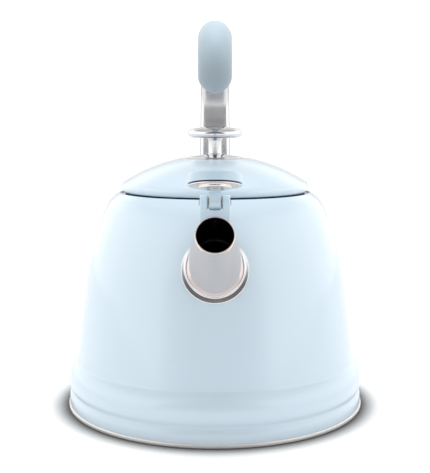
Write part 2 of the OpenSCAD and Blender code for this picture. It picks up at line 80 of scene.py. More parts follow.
def soften(corners, steps=4):
    """An outline from corners (x, y, radius), each rounded by its radius."""
    points = []
    for i, (x, y, radius) in enumerate(corners):
        here = Vector((x, y))
        if not radius:
            points.append(here)
            continue
        before = (Vector(corners[i - 1][:2]) - here).normalized()
        after = (Vector(corners[(i + 1) % len(corners)][:2]) - here).normalized()
        half = before.angle(after) / 2
        centre = here + (before + after).normalized() * radius / math.sin(half)
        start = angle_of(here + before * radius / math.tan(half) - centre)
        end = angle_of(here + after * radius / math.tan(half) - centre)
        turn = (end - start + 180) % 360 - 180
        points += arc(centre, radius, start, start + turn, steps)
    return points


print("a softened 10 mm square has", len(soften([(0, 0, 1), (10, 0, 1), (10, 10, 1), (0, 10, 1)])), "points")

# %% [markdown]
# ## Making meshes
# Three ways of making cover the kettle. Round pieces are turned, as a metal spinner turns them. The grip,
# spout and upright are lofted through rings. The small bracket and arm are plates with rounded edges.
# Faces are smooth, and only an edge that turns by more than a set angle stays crisp.

# %% Mesh helpers
def mesh_piece(name, points, faces, crisp=32):
    """A mesh object from points in mm, smooth except at edges sharper than crisp degrees."""
    mesh = bpy.data.meshes.new(name)
    mesh.from_pydata([Vector(p) * MM for p in points], [], faces)
    made = bpy.data.objects.new(name, mesh)
    bpy.context.scene.collection.objects.link(made)
    shade(made, crisp)
    return made


def shade(piece, crisp):
    """Normals outwards, faces smooth, and edges above crisp degrees sharp."""
    shape = bmesh.new()
    shape.from_mesh(piece.data)
    bmesh.ops.remove_doubles(shape, verts=shape.verts, dist=1e-7)
    bmesh.ops.recalc_face_normals(shape, faces=shape.faces)
    for face in shape.faces:
        face.smooth = True
    for edge in shape.edges:
        edge.smooth = len(edge.link_faces) == 2 and edge.calc_face_angle(0) < math.radians(crisp)
    shape.to_mesh(piece.data)
    shape.free()


def turned(name, outline, place=Matrix(), steps=144, crisp=32):
    """A closed outline of (radius, height) turned about the vertical axis, then put in its place."""
    points, rows, faces = [], [], []
    for radius, height in outline:
        count = 1 if abs(radius) < 1e-6 else steps
        rows.append([len(points) + k % count for k in range(steps)])
        points += [place @ Vector((*polar(radius, 360 * k / steps), height)) for k in range(count)]
    for a, b in zip(rows, rows[1:] + rows[:1]):
        for k in range(steps):
            corners = dict.fromkeys((a[k], a[(k + 1) % steps], b[(k + 1) % steps], b[k]))
            if len(corners) > 2:
                faces.append(list(corners))
    return mesh_piece(name, points, faces, crisp)


def lofted(name, rings, crisp=32):
    """A skin through rings of equally many points, closed at both ends."""
    sides = len(rings[0])
    faces = [list(range(sides)), list(range((len(rings) - 1) * sides, len(rings) * sides))]
    for i in range(len(rings) - 1):
        for k in range(sides):
            faces.append([i * sides + k, i * sides + (k + 1) % sides,
                          (i + 1) * sides + (k + 1) % sides, (i + 1) * sides + k])
    return mesh_piece(name, [p for ring in rings for p in ring], faces, crisp)


def looped(name, rings, crisp=32):
    """A skin through rings that come back to the first one."""
    sides = len(rings[0])
    faces = [[i * sides + k, i * sides + (k + 1) % sides,
              (i + 1) % len(rings) * sides + (k + 1) % sides, (i + 1) % len(rings) * sides + k]
             for i in range(len(rings)) for k in range(sides)]
    return mesh_piece(name, [p for ring in rings for p in ring], faces, crisp)


def plate(name, outline, width, edge, place, middle=0.0, crisp=32):
    """An outline (a, b) as a plate of a width across the kettle, its two faces' edges rounded."""
    shape = bmesh.new()
    ring = [shape.verts.new((-width / 2, a, b)) for a, b in outline]
    back = shape.faces.new(ring)
    grown = bmesh.ops.extrude_face_region(shape, geom=[back])["geom"]
    far = [v for v in grown if isinstance(v, bmesh.types.BMVert)]
    bmesh.ops.translate(shape, verts=far, vec=(width, 0, 0))
    rims = [e for e in shape.edges if abs(e.verts[0].co.x - e.verts[1].co.x) < 1e-6]
    bmesh.ops.bevel(shape, geom=rims, offset=edge, segments=4, profile=0.5, affect="EDGES")
    bmesh.ops.recalc_face_normals(shape, faces=shape.faces)
    points = [place @ (v.co + Vector((middle, 0, 0))) for v in shape.verts]
    shape.verts.index_update()
    faces = [[v.index for v in f.verts] for f in shape.faces]
    shape.free()
    return mesh_piece(name, points, faces, crisp)


def carve(piece, tool, operation="DIFFERENCE", crisp=32):
    """Cuts the tool out of a piece, or welds it on, and throws the tool away."""
    cut = piece.modifiers.new("cut", "BOOLEAN")
    cut.object, cut.operation, cut.solver = tool, operation, "EXACT"
    bpy.context.view_layer.update()
    result = bpy.data.meshes.new_from_object(piece.evaluated_get(bpy.context.evaluated_depsgraph_get()))
    piece.modifiers.clear()
    piece.data = result
    bpy.data.objects.remove(tool)
    shade(piece, crisp)


pieces = []


def fit(piece, body, slot, *nodes):
    """A piece rides on its body, takes its finish from a slot and stands for its solids."""
    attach(piece, body)
    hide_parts(*nodes)
    pieces.append((piece, slot))
    print(f"{piece.name}: {len(piece.data.polygons)} faces, for {', '.join(nodes)}")


# %% [markdown]
# ## The body
# The body is drawn from one sheet of steel, then its bead is rolled in near the foot. Its outline is a
# chain of arcs that touch: foot, waist, bead, fillet, the long flank and the tight shoulder. Turning one
# closed outline gives the sheet its true 1 mm thickness, which shows at the lip when the lid is off.

# %% The body's outline
WALL = 1.0
BASE_R, RIM_H, BODY_H = 93.5, 2.5, 134.9
FOOT_R, FOOT_ARC, WAIST_ARC, BEAD_ARC, FILLET_ARC = 92.8, 6.0, 2.5, 15.6, 3.0
FLANK_ARC, SHOULDER_ARC, FLANK_A, SHOULDER_A, LIP_A = 195.5, 20.0, 7.7, 22.8, 63.4
foot_c = Vector((FOOT_R - FOOT_ARC, 6.5))
bead_c = Vector((FOOT_R + 0.5 - BEAD_ARC, 18.8))
gap = bead_c - foot_c
side = (FOOT_ARC + WAIST_ARC) ** 2 + gap.length ** 2 - (BEAD_ARC + WAIST_ARC) ** 2
waist_turn = math.degrees(math.acos(side / (2 * gap.length * (FOOT_ARC + WAIST_ARC))))
waist_c = foot_c + polar(FOOT_ARC + WAIST_ARC, angle_of(gap) - waist_turn)
flank_d = (FOOT_R - 0.35) * math.cos(math.radians(FLANK_A))
bead_top_a = FLANK_A + math.degrees(math.acos(
    (flank_d + FILLET_ARC - bead_c.dot(polar(1, FLANK_A))) / (BEAD_ARC + FILLET_ARC)))
fillet_c = bead_c + polar(BEAD_ARC + FILLET_ARC, bead_top_a)
flank_z = (BODY_H - (FLANK_ARC - SHOULDER_ARC) * math.sin(math.radians(SHOULDER_A))
           - SHOULDER_ARC * math.sin(math.radians(LIP_A)))
flank_c = Vector(((flank_d - FLANK_ARC - flank_z * math.sin(math.radians(FLANK_A)))
                  / math.cos(math.radians(FLANK_A)), flank_z))
shoulder_c = flank_c + polar(FLANK_ARC - SHOULDER_ARC, SHOULDER_A)
lip_r = shoulder_c.x + SHOULDER_ARC * math.cos(math.radians(LIP_A))


def wall_line(inset, lip_a):
    """The wall from foot to lip, inset from the outer face."""
    return (
        [Vector((FOOT_R - inset, RIM_H))]
        + arc(foot_c, FOOT_ARC - inset, 0, angle_of(waist_c - foot_c), 6)
        + arc(waist_c, WAIST_ARC + inset, 180 + angle_of(waist_c - foot_c),
              180 + angle_of(waist_c - bead_c), 8)
        + arc(bead_c, BEAD_ARC - inset, angle_of(waist_c - bead_c), bead_top_a, 22)
        + arc(fillet_c, FILLET_ARC + inset, 180 + bead_top_a, 180 + FLANK_A, 8)
        + arc(flank_c, FLANK_ARC - inset, FLANK_A, SHOULDER_A, 40)[1:]
        + arc(shoulder_c, SHOULDER_ARC - inset, SHOULDER_A, lip_a, 18)[1:])


def skin(z, out=0.0):
    """The body's radius at a height on its flank or shoulder, out mm outside the sheet."""
    if z < shoulder_c.y + (SHOULDER_ARC + out) * math.sin(math.radians(SHOULDER_A)):
        return flank_c.x + math.sqrt((FLANK_ARC + out) ** 2 - (z - flank_c.y) ** 2)
    return shoulder_c.x + math.sqrt(max(0.0, (SHOULDER_ARC + out) ** 2 - (z - shoulder_c.y) ** 2))


print("lip radius", round(lip_r, 2), "mm, flank at half height", round(skin(67), 2), "mm")

# %% Turn the body
LIP_ROUND, NECK_H = 0.45, 7.5
ledge_z, neck_r = BODY_H - 1.4, lip_r - 9.3
lip_a = math.degrees(math.acos((lip_r + LIP_ROUND - shoulder_c.x) / (SHOULDER_ARC - LIP_ROUND)))
lip_c = shoulder_c + polar(SHOULDER_ARC - LIP_ROUND, lip_a)
mouth_step = soften([
    (lip_r, BODY_H - 1, 0), (lip_r, ledge_z, 0.3), (neck_r, ledge_z, 0.5), (neck_r, ledge_z - NECK_H, 0.3),
    (neck_r + WALL, ledge_z - NECK_H, 0.3), (neck_r + WALL, ledge_z - WALL, 0.3), (lip_r, ledge_z - WALL, 0)])
body = turned(
    "body", wall_line(0, lip_a) + arc(lip_c, LIP_ROUND, lip_a, 180, 6)[1:] + mouth_step
    + wall_line(WALL, LIP_A)[::-1], steps=240, crisp=40)
print("the body's mesh has", len(body.data.vertices), "points")

# %% [markdown]
# ## The spout
# The spout is a cone rolled from steel sheet, welded along its underside and polished until the weld is
# gone. Its mouth is cut at a steeper angle than its axis, so each line along the cone ends at its own
# height. The rim is rounded, because a drip hangs on a sharp one.

# %% The spout's frame
SPOUT_WALL, MOUTH_R, SPOUT_LEN, SPOUT_RISE, SPOUT_TAPER, MOUTH_TILT = 0.8, 10.2, 53.2, 27.2, 6.0, 31.0
flange_z = BODY_H - 36.4
flange_a = math.degrees(math.asin((flange_z - flank_c.y) / FLANK_ARC))
flange_y = -skin(flange_z)
mouth = Vector((0, flange_y - SPOUT_LEN * math.cos(math.radians(SPOUT_RISE)),
                flange_z + SPOUT_LEN * math.sin(math.radians(SPOUT_RISE))))
spout_frame = Matrix.Translation(mouth) @ Matrix.Rotation(math.radians(90 - SPOUT_RISE), 4, "X")
mouth_frame = Matrix.Translation(mouth) @ Matrix.Rotation(math.radians(90 - MOUTH_TILT), 4, "X")
taper = math.tan(math.radians(SPOUT_TAPER))
# the root is searched for between these distances past the wall's middle and short of it
ROOT_PAST, ROOT_SHORT = 18.0, 14.0
mouth_out = mouth_frame.to_3x3() @ Vector((0, 0, 1))


def on_cone(turn, along, inset):
    """A point on the cone, at a turn in degrees and a distance from the mouth along its axis."""
    return spout_frame @ Vector((*polar(MOUTH_R - inset - along * taper, turn), along))


def mouth_at(turn, inset, below=0.0):
    """How far along the axis the cone meets the mouth's plane, or a plane below it."""
    a, b = on_cone(turn, 0, inset), on_cone(turn, 1, inset)
    da, db = (a - mouth).dot(mouth_out) + below, (b - mouth).dot(mouth_out) + below
    return da / (da - db)


def root_at(turn, inset):
    """How far along the axis the cone meets the inside of the body."""
    low, high = -SPOUT_LEN - ROOT_PAST, -SPOUT_LEN + ROOT_SHORT
    for _ in range(30):
        mid = (low + high) / 2
        p = on_cone(turn, mid, inset)
        if math.hypot(p.x, p.y) < skin(p.z, -WALL):
            low = mid
        else:
            high = mid
    return low


print("mouth middle, mm:", [round(v, 1) for v in mouth])

# %% Loft the spout
SPOUT_SIDES, SPOUT_ROWS = 128, 24
rim_r = SPOUT_WALL / 2
spout_rings = []
for k in range(SPOUT_SIDES):
    turn = 360 * k / SPOUT_SIDES
    ends = [(inset, root_at(turn, inset), mouth_at(turn, inset, rim_r)) for inset in (0, SPOUT_WALL)]
    outside, inside = [[on_cone(turn, a + (b - a) * i / SPOUT_ROWS, inset) for i in range(SPOUT_ROWS + 1)]
                       for inset, a, b in ends]
    across = (inside[-1] - outside[-1]) / 2
    rim = [outside[-1] + across * (1 - math.cos(math.radians(t)))
           + mouth_out * rim_r * math.sin(math.radians(t)) for t in range(30, 180, 30)]
    spout_rings.append(outside + rim + inside[::-1])
spout = looped("spout_tube", spout_rings, crisp=50)
fit(spout, "kettle", "polished_steel", "spout")

# %% Cut the spout's hole in the body
hole_deep = SPOUT_LEN + 16
hole = turned("hole", [(0, 0), (MOUTH_R, 0), (MOUTH_R + hole_deep * taper, -hole_deep), (0, -hole_deep)],
              spout_frame, 96)
carve(body, hole, crisp=40)
fit(body, "kettle", "enamel_blue", "body_shell")

# %% [markdown]
# ## The flange
# A stepped steel ring covers the weld between spout and body. It is stamped to the body's curve, so its
# edge is a circle seen along the wall's normal, and every point of it lies a set height above the wall.

# %% Lay the flange on the wall
FLANGE_R, FLANGE_T, RING_R, RING_T, RING_RISE, RING_INNER, DROP = 19.0, 1.0, 17.1, 2.4, 0.6, 14.2, 1.1
FLANGE_SUNK, FLANGE_STEPS, FLANGE_SEARCH = 0.4, 144, (-14.0, 8.0)
flange_frame = (Matrix.Translation((0, flange_y, flange_z))
                @ Matrix.Rotation(math.radians(90 - flange_a), 4, "X"))


def on_wall(x, y, height):
    """The point above (x, y) of the flange's frame that lies a height above the wall."""
    low, high = FLANGE_SEARCH
    for _ in range(36):
        mid = (low + high) / 2
        p = flange_frame @ Vector((x, y, mid))
        if math.hypot(p.x, p.y) < skin(p.z, height):
            low = mid
        else:
            high = mid
    return p


flange_line = soften([
    (FLANGE_R, -FLANGE_SUNK, 0), (FLANGE_R, FLANGE_T, 0.35), (RING_R, FLANGE_T, 0.35),
    (RING_R, RING_T, 0.8), (RING_INNER, RING_T, 0), (RING_INNER, -FLANGE_SUNK, 0)], 5)
flange_rings = []
for k in range(FLANGE_STEPS):
    flange_rings.append([
        on_wall(r * math.cos(math.tau * k / FLANGE_STEPS),
                r * math.sin(math.tau * k / FLANGE_STEPS) - DROP
                + (RING_RISE + DROP) * min(1, max(0, (FLANGE_R - r) / (FLANGE_R - RING_R))),
                h) for r, h in flange_line])
flange = looped("spout_flange_ring", flange_rings, crisp=60)
fit(flange, "kettle", "polished_steel", "spout_flange")

# %% [markdown]
# ## The base
# The base is a shallow steel pan, turned and brushed on a lathe, with a rolled edge that peeps out under
# the blue foot. Its rim is rounded so that it does not scratch a glass hob.

# %% Turn the base
PAN_T, PAN_LIP, PAN_ROUND = 0.8, 5.5, 0.6
base = turned("base_pan", soften([
    (0, 0, 0), (BASE_R, 0, PAN_ROUND), (BASE_R, RIM_H, PAN_ROUND), (BASE_R - PAN_LIP, RIM_H, 0),
    (BASE_R - PAN_LIP, PAN_T, 0), (0, PAN_T, 0)], 6), steps=240)
fit(base, "kettle", "base_steel", "base_cap")

# %% [markdown]
# ## The lid and its knob
# The lid is pressed from the same sheet as the body and coated with it. Its rim rolls under, and a faint
# crease marks where the rim meets the dome. The knob is three turned steel pieces: a thin plate, a slim
# waisted stem and a thick round-edged disc with a slightly domed top.

# %% Turn the lid
LID_GAP, LID_RIM_ARC, LID_RIM_UP, CREASE_IN, DOME_ARC = 0.7, 4.0, 3.0, 2.3, 106.0
KNOB_R, SEAT_PAST_KNOB, HOLE_R = 16.9, 4.5, 2.2
lid_rim_c = Vector((lip_r - LID_GAP - LID_RIM_ARC, BODY_H + LID_RIM_UP))
crease_r = lip_r - CREASE_IN
crease_a = math.degrees(math.acos((crease_r - lid_rim_c.x) / LID_RIM_ARC))
crease_z = lid_rim_c.y + LID_RIM_ARC * math.sin(math.radians(crease_a))
dome_a = math.degrees(math.acos(crease_r / DOME_ARC))
dome_c = Vector((0, crease_z - DOME_ARC * math.sin(math.radians(dome_a))))
seat_a = math.degrees(math.acos((KNOB_R + SEAT_PAST_KNOB) / DOME_ARC))
seat_z = dome_c.y + DOME_ARC * math.sin(math.radians(seat_a))


def lid_line(inset):
    """The lid's sheet from its rolled rim to the flat seat of the knob."""
    return (arc(lid_rim_c, LID_RIM_ARC - inset, -37, crease_a, 14)
            + arc(dome_c, DOME_ARC - inset, dome_a, seat_a, 30))


lid = turned("lid", lid_line(0) + [Vector((HOLE_R, seat_z)), Vector((HOLE_R, seat_z - WALL))]
             + lid_line(WALL)[::-1], steps=240, crisp=40)
fit(lid, "lid", "enamel_blue", "lid_shell")

# %% Turn the knob
STEM_R, PLATE_H, KNOB_GAP, DISC_RIM, DISC_CROWN = 4.1, 2.4, 10.4, 5.6, 1.3
TENON_R, TENON_H, BORE_R, BORE_TOP, FLARE_H = 2.9, 3, 2.0, 2, 2.6
stem_z = seat_z + PLATE_H
disc_z = stem_z + KNOB_GAP
knob_plate = turned("knob_foot", soften([
    (HOLE_R, seat_z, 0), (KNOB_R, seat_z, 0.3), (KNOB_R, seat_z + 0.8, 0.3), (STEM_R + 0.7, stem_z, 0.3),
    (HOLE_R, stem_z, 0)]))
fit(knob_plate, "lid", "polished_steel", "knob_plate")

flare = [Vector((STEM_R + (i / 8) ** 2, disc_z - FLARE_H * (1 - i / 8))) for i in range(9)]
knob_stem = turned("knob_neck", [
    Vector((BORE_R, stem_z)), Vector((STEM_R + 0.3, stem_z)), Vector((STEM_R + 0.3, stem_z + 0.3)),
    Vector((STEM_R, stem_z + 0.6))] + flare + [
    Vector((TENON_R, disc_z)), Vector((TENON_R, disc_z + TENON_H)), Vector((0, disc_z + TENON_H)),
    Vector((0, disc_z - BORE_TOP)), Vector((BORE_R, disc_z - BORE_TOP))], steps=96)
fit(knob_stem, "lid", "polished_steel", "knob_stem")

edge_r = DISC_RIM / 2
crown_r = ((KNOB_R - edge_r) ** 2 + DISC_CROWN ** 2) / (2 * DISC_CROWN)
crown_c = Vector((0, disc_z + DISC_RIM + DISC_CROWN - crown_r))
crown_a = angle_of(Vector((KNOB_R - edge_r, disc_z + DISC_RIM)) - crown_c)
knob_disc = turned("knob_top", [Vector((TENON_R, disc_z))]
                   + arc((KNOB_R - edge_r, disc_z + edge_r), edge_r, -90, 90, 24)
                   + arc(crown_c, crown_r, crown_a, 90, 20)
                   + [Vector((0, disc_z + TENON_H)), Vector((TENON_R, disc_z + TENON_H))], crisp=40)
fit(knob_disc, "lid", "polished_steel", "knob_disc")

# %% [markdown]
# ## The whistle's bracket
# A moulded fork straddles the top of the spout and carries the hinge pin. It is one base and two prongs
# with rounded edges, welded into one mesh, and the spout's cone is cut out of its underside.

# %% Shape the bracket
PIVOT_BACK, PRONG_R, BRACKET_W, SLOT_W, PIN_R = 5.0, 4.0, 15.7, 7.6, 1.5
pivot_up = MOUTH_R + 10.3
slot_floor = MOUTH_R + 4.3
low_up = MOUTH_R * 0.55
# along the mouth's normal, less than nought lies behind the mouth
FORK_FRONT, FORK_STEP, FORK_BACK, FORK_BACK_UP, PRONG_BACK, PRONG_FOOT = -1, -9.4, -19, 3.2, -9, 3
sideways = Matrix(((1, 0, 0, 0), (0, 0, 1, 0), (0, 1, 0, 0), (0, 0, 0, 1)))


def out_up(frame_matrix):
    """A frame for plates whose outline is given as (out of the mouth, up across it)."""
    return frame_matrix @ sideways


base_line = soften([
    (FORK_FRONT, low_up, 0), (FORK_FRONT, slot_floor, 0.6), (FORK_STEP, slot_floor, 0.8),
    (FORK_BACK, MOUTH_R + FORK_BACK_UP, 1.6), (FORK_BACK, low_up, 0)], 5)
# the prongs stand a little inside the base's faces, so that no two faces lie in one plane when welded
TUCK = 0.06
prong_line = ([Vector((FORK_FRONT - TUCK, low_up + PRONG_FOOT))]
              + arc((-PIVOT_BACK, pivot_up), PRONG_R - TUCK, 0, 180, 18)
              + [Vector((PRONG_BACK + TUCK, low_up + PRONG_FOOT))])
bracket = plate("bracket", base_line, BRACKET_W, 0.7, out_up(mouth_frame))
for hand in (-1, 1):
    prong = plate("prong", prong_line, (BRACKET_W - SLOT_W) / 2 - 2 * TUCK, 0.7, out_up(mouth_frame),
                  hand * (BRACKET_W + SLOT_W) / 4)
    carve(bracket, prong, "UNION")
CONE_OVER, CONE_UNDER = 2, 60
cone = turned("cone", [(0, CONE_OVER), (MOUTH_R - CONE_OVER * taper, CONE_OVER),
                       (MOUTH_R + CONE_UNDER * taper, -CONE_UNDER), (0, -CONE_UNDER)], spout_frame, 128)
carve(bracket, cone)
fit(bracket, "kettle", "whistle_blue", "whistle_bracket")

pin_frame = (out_up(mouth_frame) @ Matrix.Translation((0, -PIVOT_BACK, pivot_up))
             @ Matrix.Rotation(math.pi / 2, 4, "Y"))
half_pin = BRACKET_W / 2 + 0.6
pin = turned("hinge_rod", soften([(0, -half_pin, 0), (PIN_R, -half_pin, 0.4), (PIN_R, half_pin, 0.4),
                                  (0, half_pin, 0)]), pin_frame, 48)
fit(pin, "kettle", "hardware_steel", "hinge_pin")

# %% [markdown]
# ## The whistle cap
# The cap is drawn shut on the spout's mouth and then turned back about its pin, as a hand would flip it.
# Its blue shell and arm are one moulding. Under it sit a dark ring of silicone and a stepped steel plate
# whose plug fills the mouth, with the small hole that sounds.

# %% Shape the whistle cap
CAP_R, CAP_H, CAP_WALL, CAP_OPEN, ARM_W = 13.65, 4.7, 1.2, 72.0, 5.9
FACE_GAP, SHEET, GASKET, PLUG_H, SOUND_R = 0.3, 0.5, 0.7, 1.2, 1.5
plug_r = MOUTH_R - 2
shell_z = FACE_GAP + SHEET + GASKET
pivot_place = Matrix.Translation((0, pivot_up, -PIVOT_BACK))
cap_frame = (mouth_frame @ pivot_place @ Matrix.Rotation(math.radians(-CAP_OPEN), 4, "X")
             @ pivot_place.inverted())
steam_r = SOUND_R + 0.7
cap = turned("whistle_cap_shell", soften([
    (steam_r, shell_z + CAP_H, 0.3), (CAP_R, shell_z + CAP_H, 1.3), (CAP_R, shell_z, 0.25),
    (CAP_R - CAP_WALL, shell_z, 0.2), (CAP_R - CAP_WALL, shell_z + CAP_H - CAP_WALL, 0.5),
    (steam_r, shell_z + CAP_H - CAP_WALL, 0.2)], 6), cap_frame, 128)
hub_r, arm_end_r = pivot_up - slot_floor - 0.6, 2.2
arm_end = Vector((shell_z + CAP_H / 2, CAP_R - 1.6))
hub = Vector((-PIVOT_BACK, pivot_up))
reach = arm_end - hub
lean = math.degrees(math.acos((hub_r - arm_end_r) / reach.length))
arm_line = (arc(hub, hub_r, angle_of(reach) + lean, angle_of(reach) - lean + 360, 24)
            + arc(arm_end, arm_end_r, angle_of(reach) - lean, angle_of(reach) + lean, 12))
arm = plate("arm", arm_line, ARM_W, 0.6, out_up(cap_frame))
# the arm leaves room for the cap's lining, and for the fork's floor when the cap is shut
ROOM_DEEP = 12
room = turned("room", [
    (0, shell_z - ROOM_DEEP), (CAP_R, shell_z - ROOM_DEEP), (CAP_R, shell_z), (CAP_R - CAP_WALL, shell_z),
    (CAP_R - CAP_WALL, shell_z + CAP_H - CAP_WALL), (0, shell_z + CAP_H - CAP_WALL)], cap_frame, 128)
carve(arm, room)
ARM_CLEAR = 0.4
STEP_DEEP = 25
step_out, floor_up = ARM_CLEAR + FORK_FRONT, slot_floor + ARM_CLEAR
step_line = [Vector((step_out, 0)), Vector((step_out, floor_up)), Vector((-STEP_DEEP, floor_up)),
             Vector((-STEP_DEEP, 0))]
step = plate("step", step_line, 2 * ARM_W, 0.1, out_up(cap_frame))
carve(arm, step)
carve(cap, arm, "UNION")
fit(cap, "whistle_cap", "whistle_blue", "cap_shell")

# %% Line the whistle cap
GASKET_IN = 0.75
cup_skirt, gasket_r = CAP_R - CAP_WALL - GASKET_IN, CAP_R - GASKET_IN
gasket = turned("cap_ring", soften([
    (cup_skirt, FACE_GAP + SHEET, 0), (gasket_r, FACE_GAP + SHEET, 0.2), (gasket_r, shell_z, 0.2),
    (cup_skirt, shell_z, 0)]), cap_frame, 128)
fit(gasket, "whistle_cap", "dark_silicone", "cap_gasket")
plate_r, plate_z, plug_z = CAP_R - 0.35, FACE_GAP + SHEET, FACE_GAP - PLUG_H
lining = turned("sounding_plate", soften([
    (SOUND_R, plug_z, 0.15), (plug_r, plug_z, 0.6), (plug_r, FACE_GAP, 0.3), (plate_r, FACE_GAP, 0.22),
    (plate_r, plate_z, 0.22), (plug_r - SHEET, plate_z, 0.1), (plug_r - SHEET, plug_z + SHEET, 0.1),
    (SOUND_R, plug_z + SHEET, 0.15)], 6), cap_frame, 128)
fit(lining, "whistle_cap", "whistle_steel", "whistle_plate")

# %% [markdown]
# ## The handle
# The upright is a satin steel bar that rises behind the lid from a foot on the body. Its corners are
# rounded, so its flat front looks grey between two bright lines. The grip is moulded round a steel core:
# it bends forward out of the upright, runs over the lid and ends in a round-nosed hook.

# %% The handle's line
UPRIGHT_T, UPRIGHT_W, GRIP_R, BEND_ARC, HOOK_ARC, CROWN_SLOPE = 9.0, 21.5, 9.8, 40.0, 15.0, 8.0
REACH, HAND_GAP, GRIP_START, HOOK_OVER, HOOK_STRAIGHT = 110.0, 44.0, 32.0, 22.0, 1.8
BAR_GAP = 2.0
upright_y = lip_r - LID_GAP + BAR_GAP + UPRIGHT_T / 2
sin_c, cos_c = math.sin(math.radians(CROWN_SLOPE)), math.cos(math.radians(CROWN_SLOPE))
arch_r = (REACH - (BEND_ARC + HOOK_ARC) * (1 - sin_c)) / (2 * sin_c)
crown_top = disc_z + DISC_RIM + DISC_CROWN + HAND_GAP + GRIP_R
bend_c = Vector((upright_y - BEND_ARC, crown_top - BEND_ARC * cos_c - arch_r * (1 - cos_c)))
arch_c = bend_c - polar(arch_r - BEND_ARC, 90 - CROWN_SLOPE)
hook_c = arch_c + polar(arch_r - HOOK_ARC, 90 + CROWN_SLOPE)


def line_part(centre, radius, start, end, steps):
    """Stations (y, z, angle of the outer side) along one arc of the handle."""
    return [(*(centre + polar(radius, start + (end - start) * i / steps)), start + (end - start) * i / steps)
            for i in range(steps + 1)]


def ring_at(y, z, angle, radius, sides=64):
    """A circle of points across the handle's line."""
    ring = []
    for k in range(sides):
        turn = math.tau * k / sides
        side_y, side_z = polar(radius * math.cos(turn), angle)
        ring.append(Vector((radius * math.sin(turn), y + side_y, z + side_z)))
    return ring


print("crown of the handle's line at", round(crown_top, 1), "mm")

# %% Loft the grip
END_ROUND = 1.5
stations = []
for t in range(0, 90, 15):
    sunk = END_ROUND * (1 - math.cos(math.radians(t)))
    angle = GRIP_START + math.degrees(sunk / BEND_ARC)
    radius = GRIP_R - END_ROUND * (1 - math.sin(math.radians(t)))
    stations.append((*(bend_c + polar(BEND_ARC, angle)), angle, radius))
bend_from = GRIP_START + math.degrees(END_ROUND / BEND_ARC)
hook_end = 180 + HOOK_OVER
for part in (line_part(bend_c, BEND_ARC, bend_from, 90 - CROWN_SLOPE, 24),
             line_part(arch_c, arch_r, 90 - CROWN_SLOPE, 90 + CROWN_SLOPE, 30)[1:],
             line_part(hook_c, HOOK_ARC, 90 + CROWN_SLOPE, hook_end, 36)[1:]):
    stations += [(*at, GRIP_R) for at in part]
tip = Vector(stations[-1][:2]) + polar(HOOK_STRAIGHT, HOOK_OVER - 90)
for t in (*range(0, 90, 6), 88):
    nose = tip + polar(GRIP_R * math.sin(math.radians(t)), HOOK_OVER - 90)
    stations.append((*nose, hook_end, GRIP_R * math.cos(math.radians(t))))
grip = lofted("grip", [ring_at(*at) for at in stations], crisp=50)
fit(grip, "kettle", "grip_blue", "handle_grip")

# %% Loft the upright
FOOT_T, FOOT_LOW_R, FOOT_ROUND, BAR_CORNER, FOOT_CORNER, SEAT_CORNER = 5.0, 8.0, 1.2, 3.3, 1.6, 0.3
FOOT_DOWN, TAPER_UP, FREE_BELOW, FREE_OVER, FOOT_BLEND, FOOT_ABOVE_LIP = 50, 20, 3, 8, 2.5, 2
foot_low, bar_top, taper_top = BODY_H - FOOT_DOWN, bend_c.y, bend_c.y + TAPER_UP
front_y, rear_y = upright_y - UPRIGHT_T / 2, upright_y + UPRIGHT_T / 2


def half_width(z):
    """Half the bar's width at a height: round-cornered foot, then a slow taper to the grip."""
    if z < foot_low + FOOT_LOW_R:
        down = foot_low + FOOT_LOW_R - z
        return UPRIGHT_W / 2 - FOOT_LOW_R + math.sqrt(max(0.0, FOOT_LOW_R ** 2 - down ** 2))
    share = min(1, max(0, (z - BODY_H) / (taper_top - BODY_H)))
    return UPRIGHT_W / 2 + (GRIP_R - 0.4 - UPRIGHT_W / 2) * share


def larger(a, b, blend):
    """The larger of two lengths, with a soft step between them."""
    mix = min(1, max(0, 0.5 + (a - b) / (2 * blend)))
    return b + (a - b) * mix + blend * mix * (1 - mix)


def bar_ring(half, thick, front_round, rear_round):
    """The bar's section as (across, depth), with points along its faces so that they can curve."""
    ring = []
    for x, depth, turn, corner in ((half, 0, -90, front_round), (half, thick, 0, rear_round),
                                   (-half, thick, 90, rear_round), (-half, 0, 180, front_round)):
        centre = (x - math.copysign(corner, x), depth + (corner if depth == 0 else -corner))
        ring += arc(centre, corner, turn, turn + 90, 6)
        if turn in (0, 180):
            inner = half - corner
            ring += [Vector((math.copysign(inner, x) * (1 - i / 4), depth)) for i in range(1, 8)]
    return ring


bar_rings = []
heights = [foot_low + FOOT_ROUND * (1 - math.cos(math.radians(t))) for t in range(0, 90, 15)]
heights += [foot_low + FOOT_ROUND + (FOOT_LOW_R - FOOT_ROUND) * (i / 10) ** 1.4 for i in range(11)]
heights += [foot_low + FOOT_LOW_R + (bar_top - foot_low - FOOT_LOW_R) * i / 70 for i in range(1, 71)]
for z in heights:
    down = max(0.0, foot_low + FOOT_ROUND - z)
    foot_out = FOOT_T - FOOT_ROUND + math.sqrt(max(0.0, FOOT_ROUND ** 2 - down ** 2))
    free = min(1, max(0, (z - BODY_H + FREE_BELOW) / FREE_OVER))
    here = []
    for x, depth in bar_ring(half_width(z), UPRIGHT_T, SEAT_CORNER + (BAR_CORNER - SEAT_CORNER) * free,
                             FOOT_CORNER + (BAR_CORNER - FOOT_CORNER) * free):
        on_body = math.sqrt(skin(min(z, BODY_H)) ** 2 - x * x) if z < BODY_H else 0
        on_foot = math.sqrt(skin(min(z, BODY_H), foot_out) ** 2 - x * x) if z < BODY_H else 0
        front = max(front_y, on_body)
        rear = larger(rear_y, on_foot, FOOT_BLEND) if z < BODY_H + FOOT_ABOVE_LIP else rear_y
        here.append(Vector((x, front + (rear - front) * depth / UPRIGHT_T, z)))
    bar_rings.append(here)
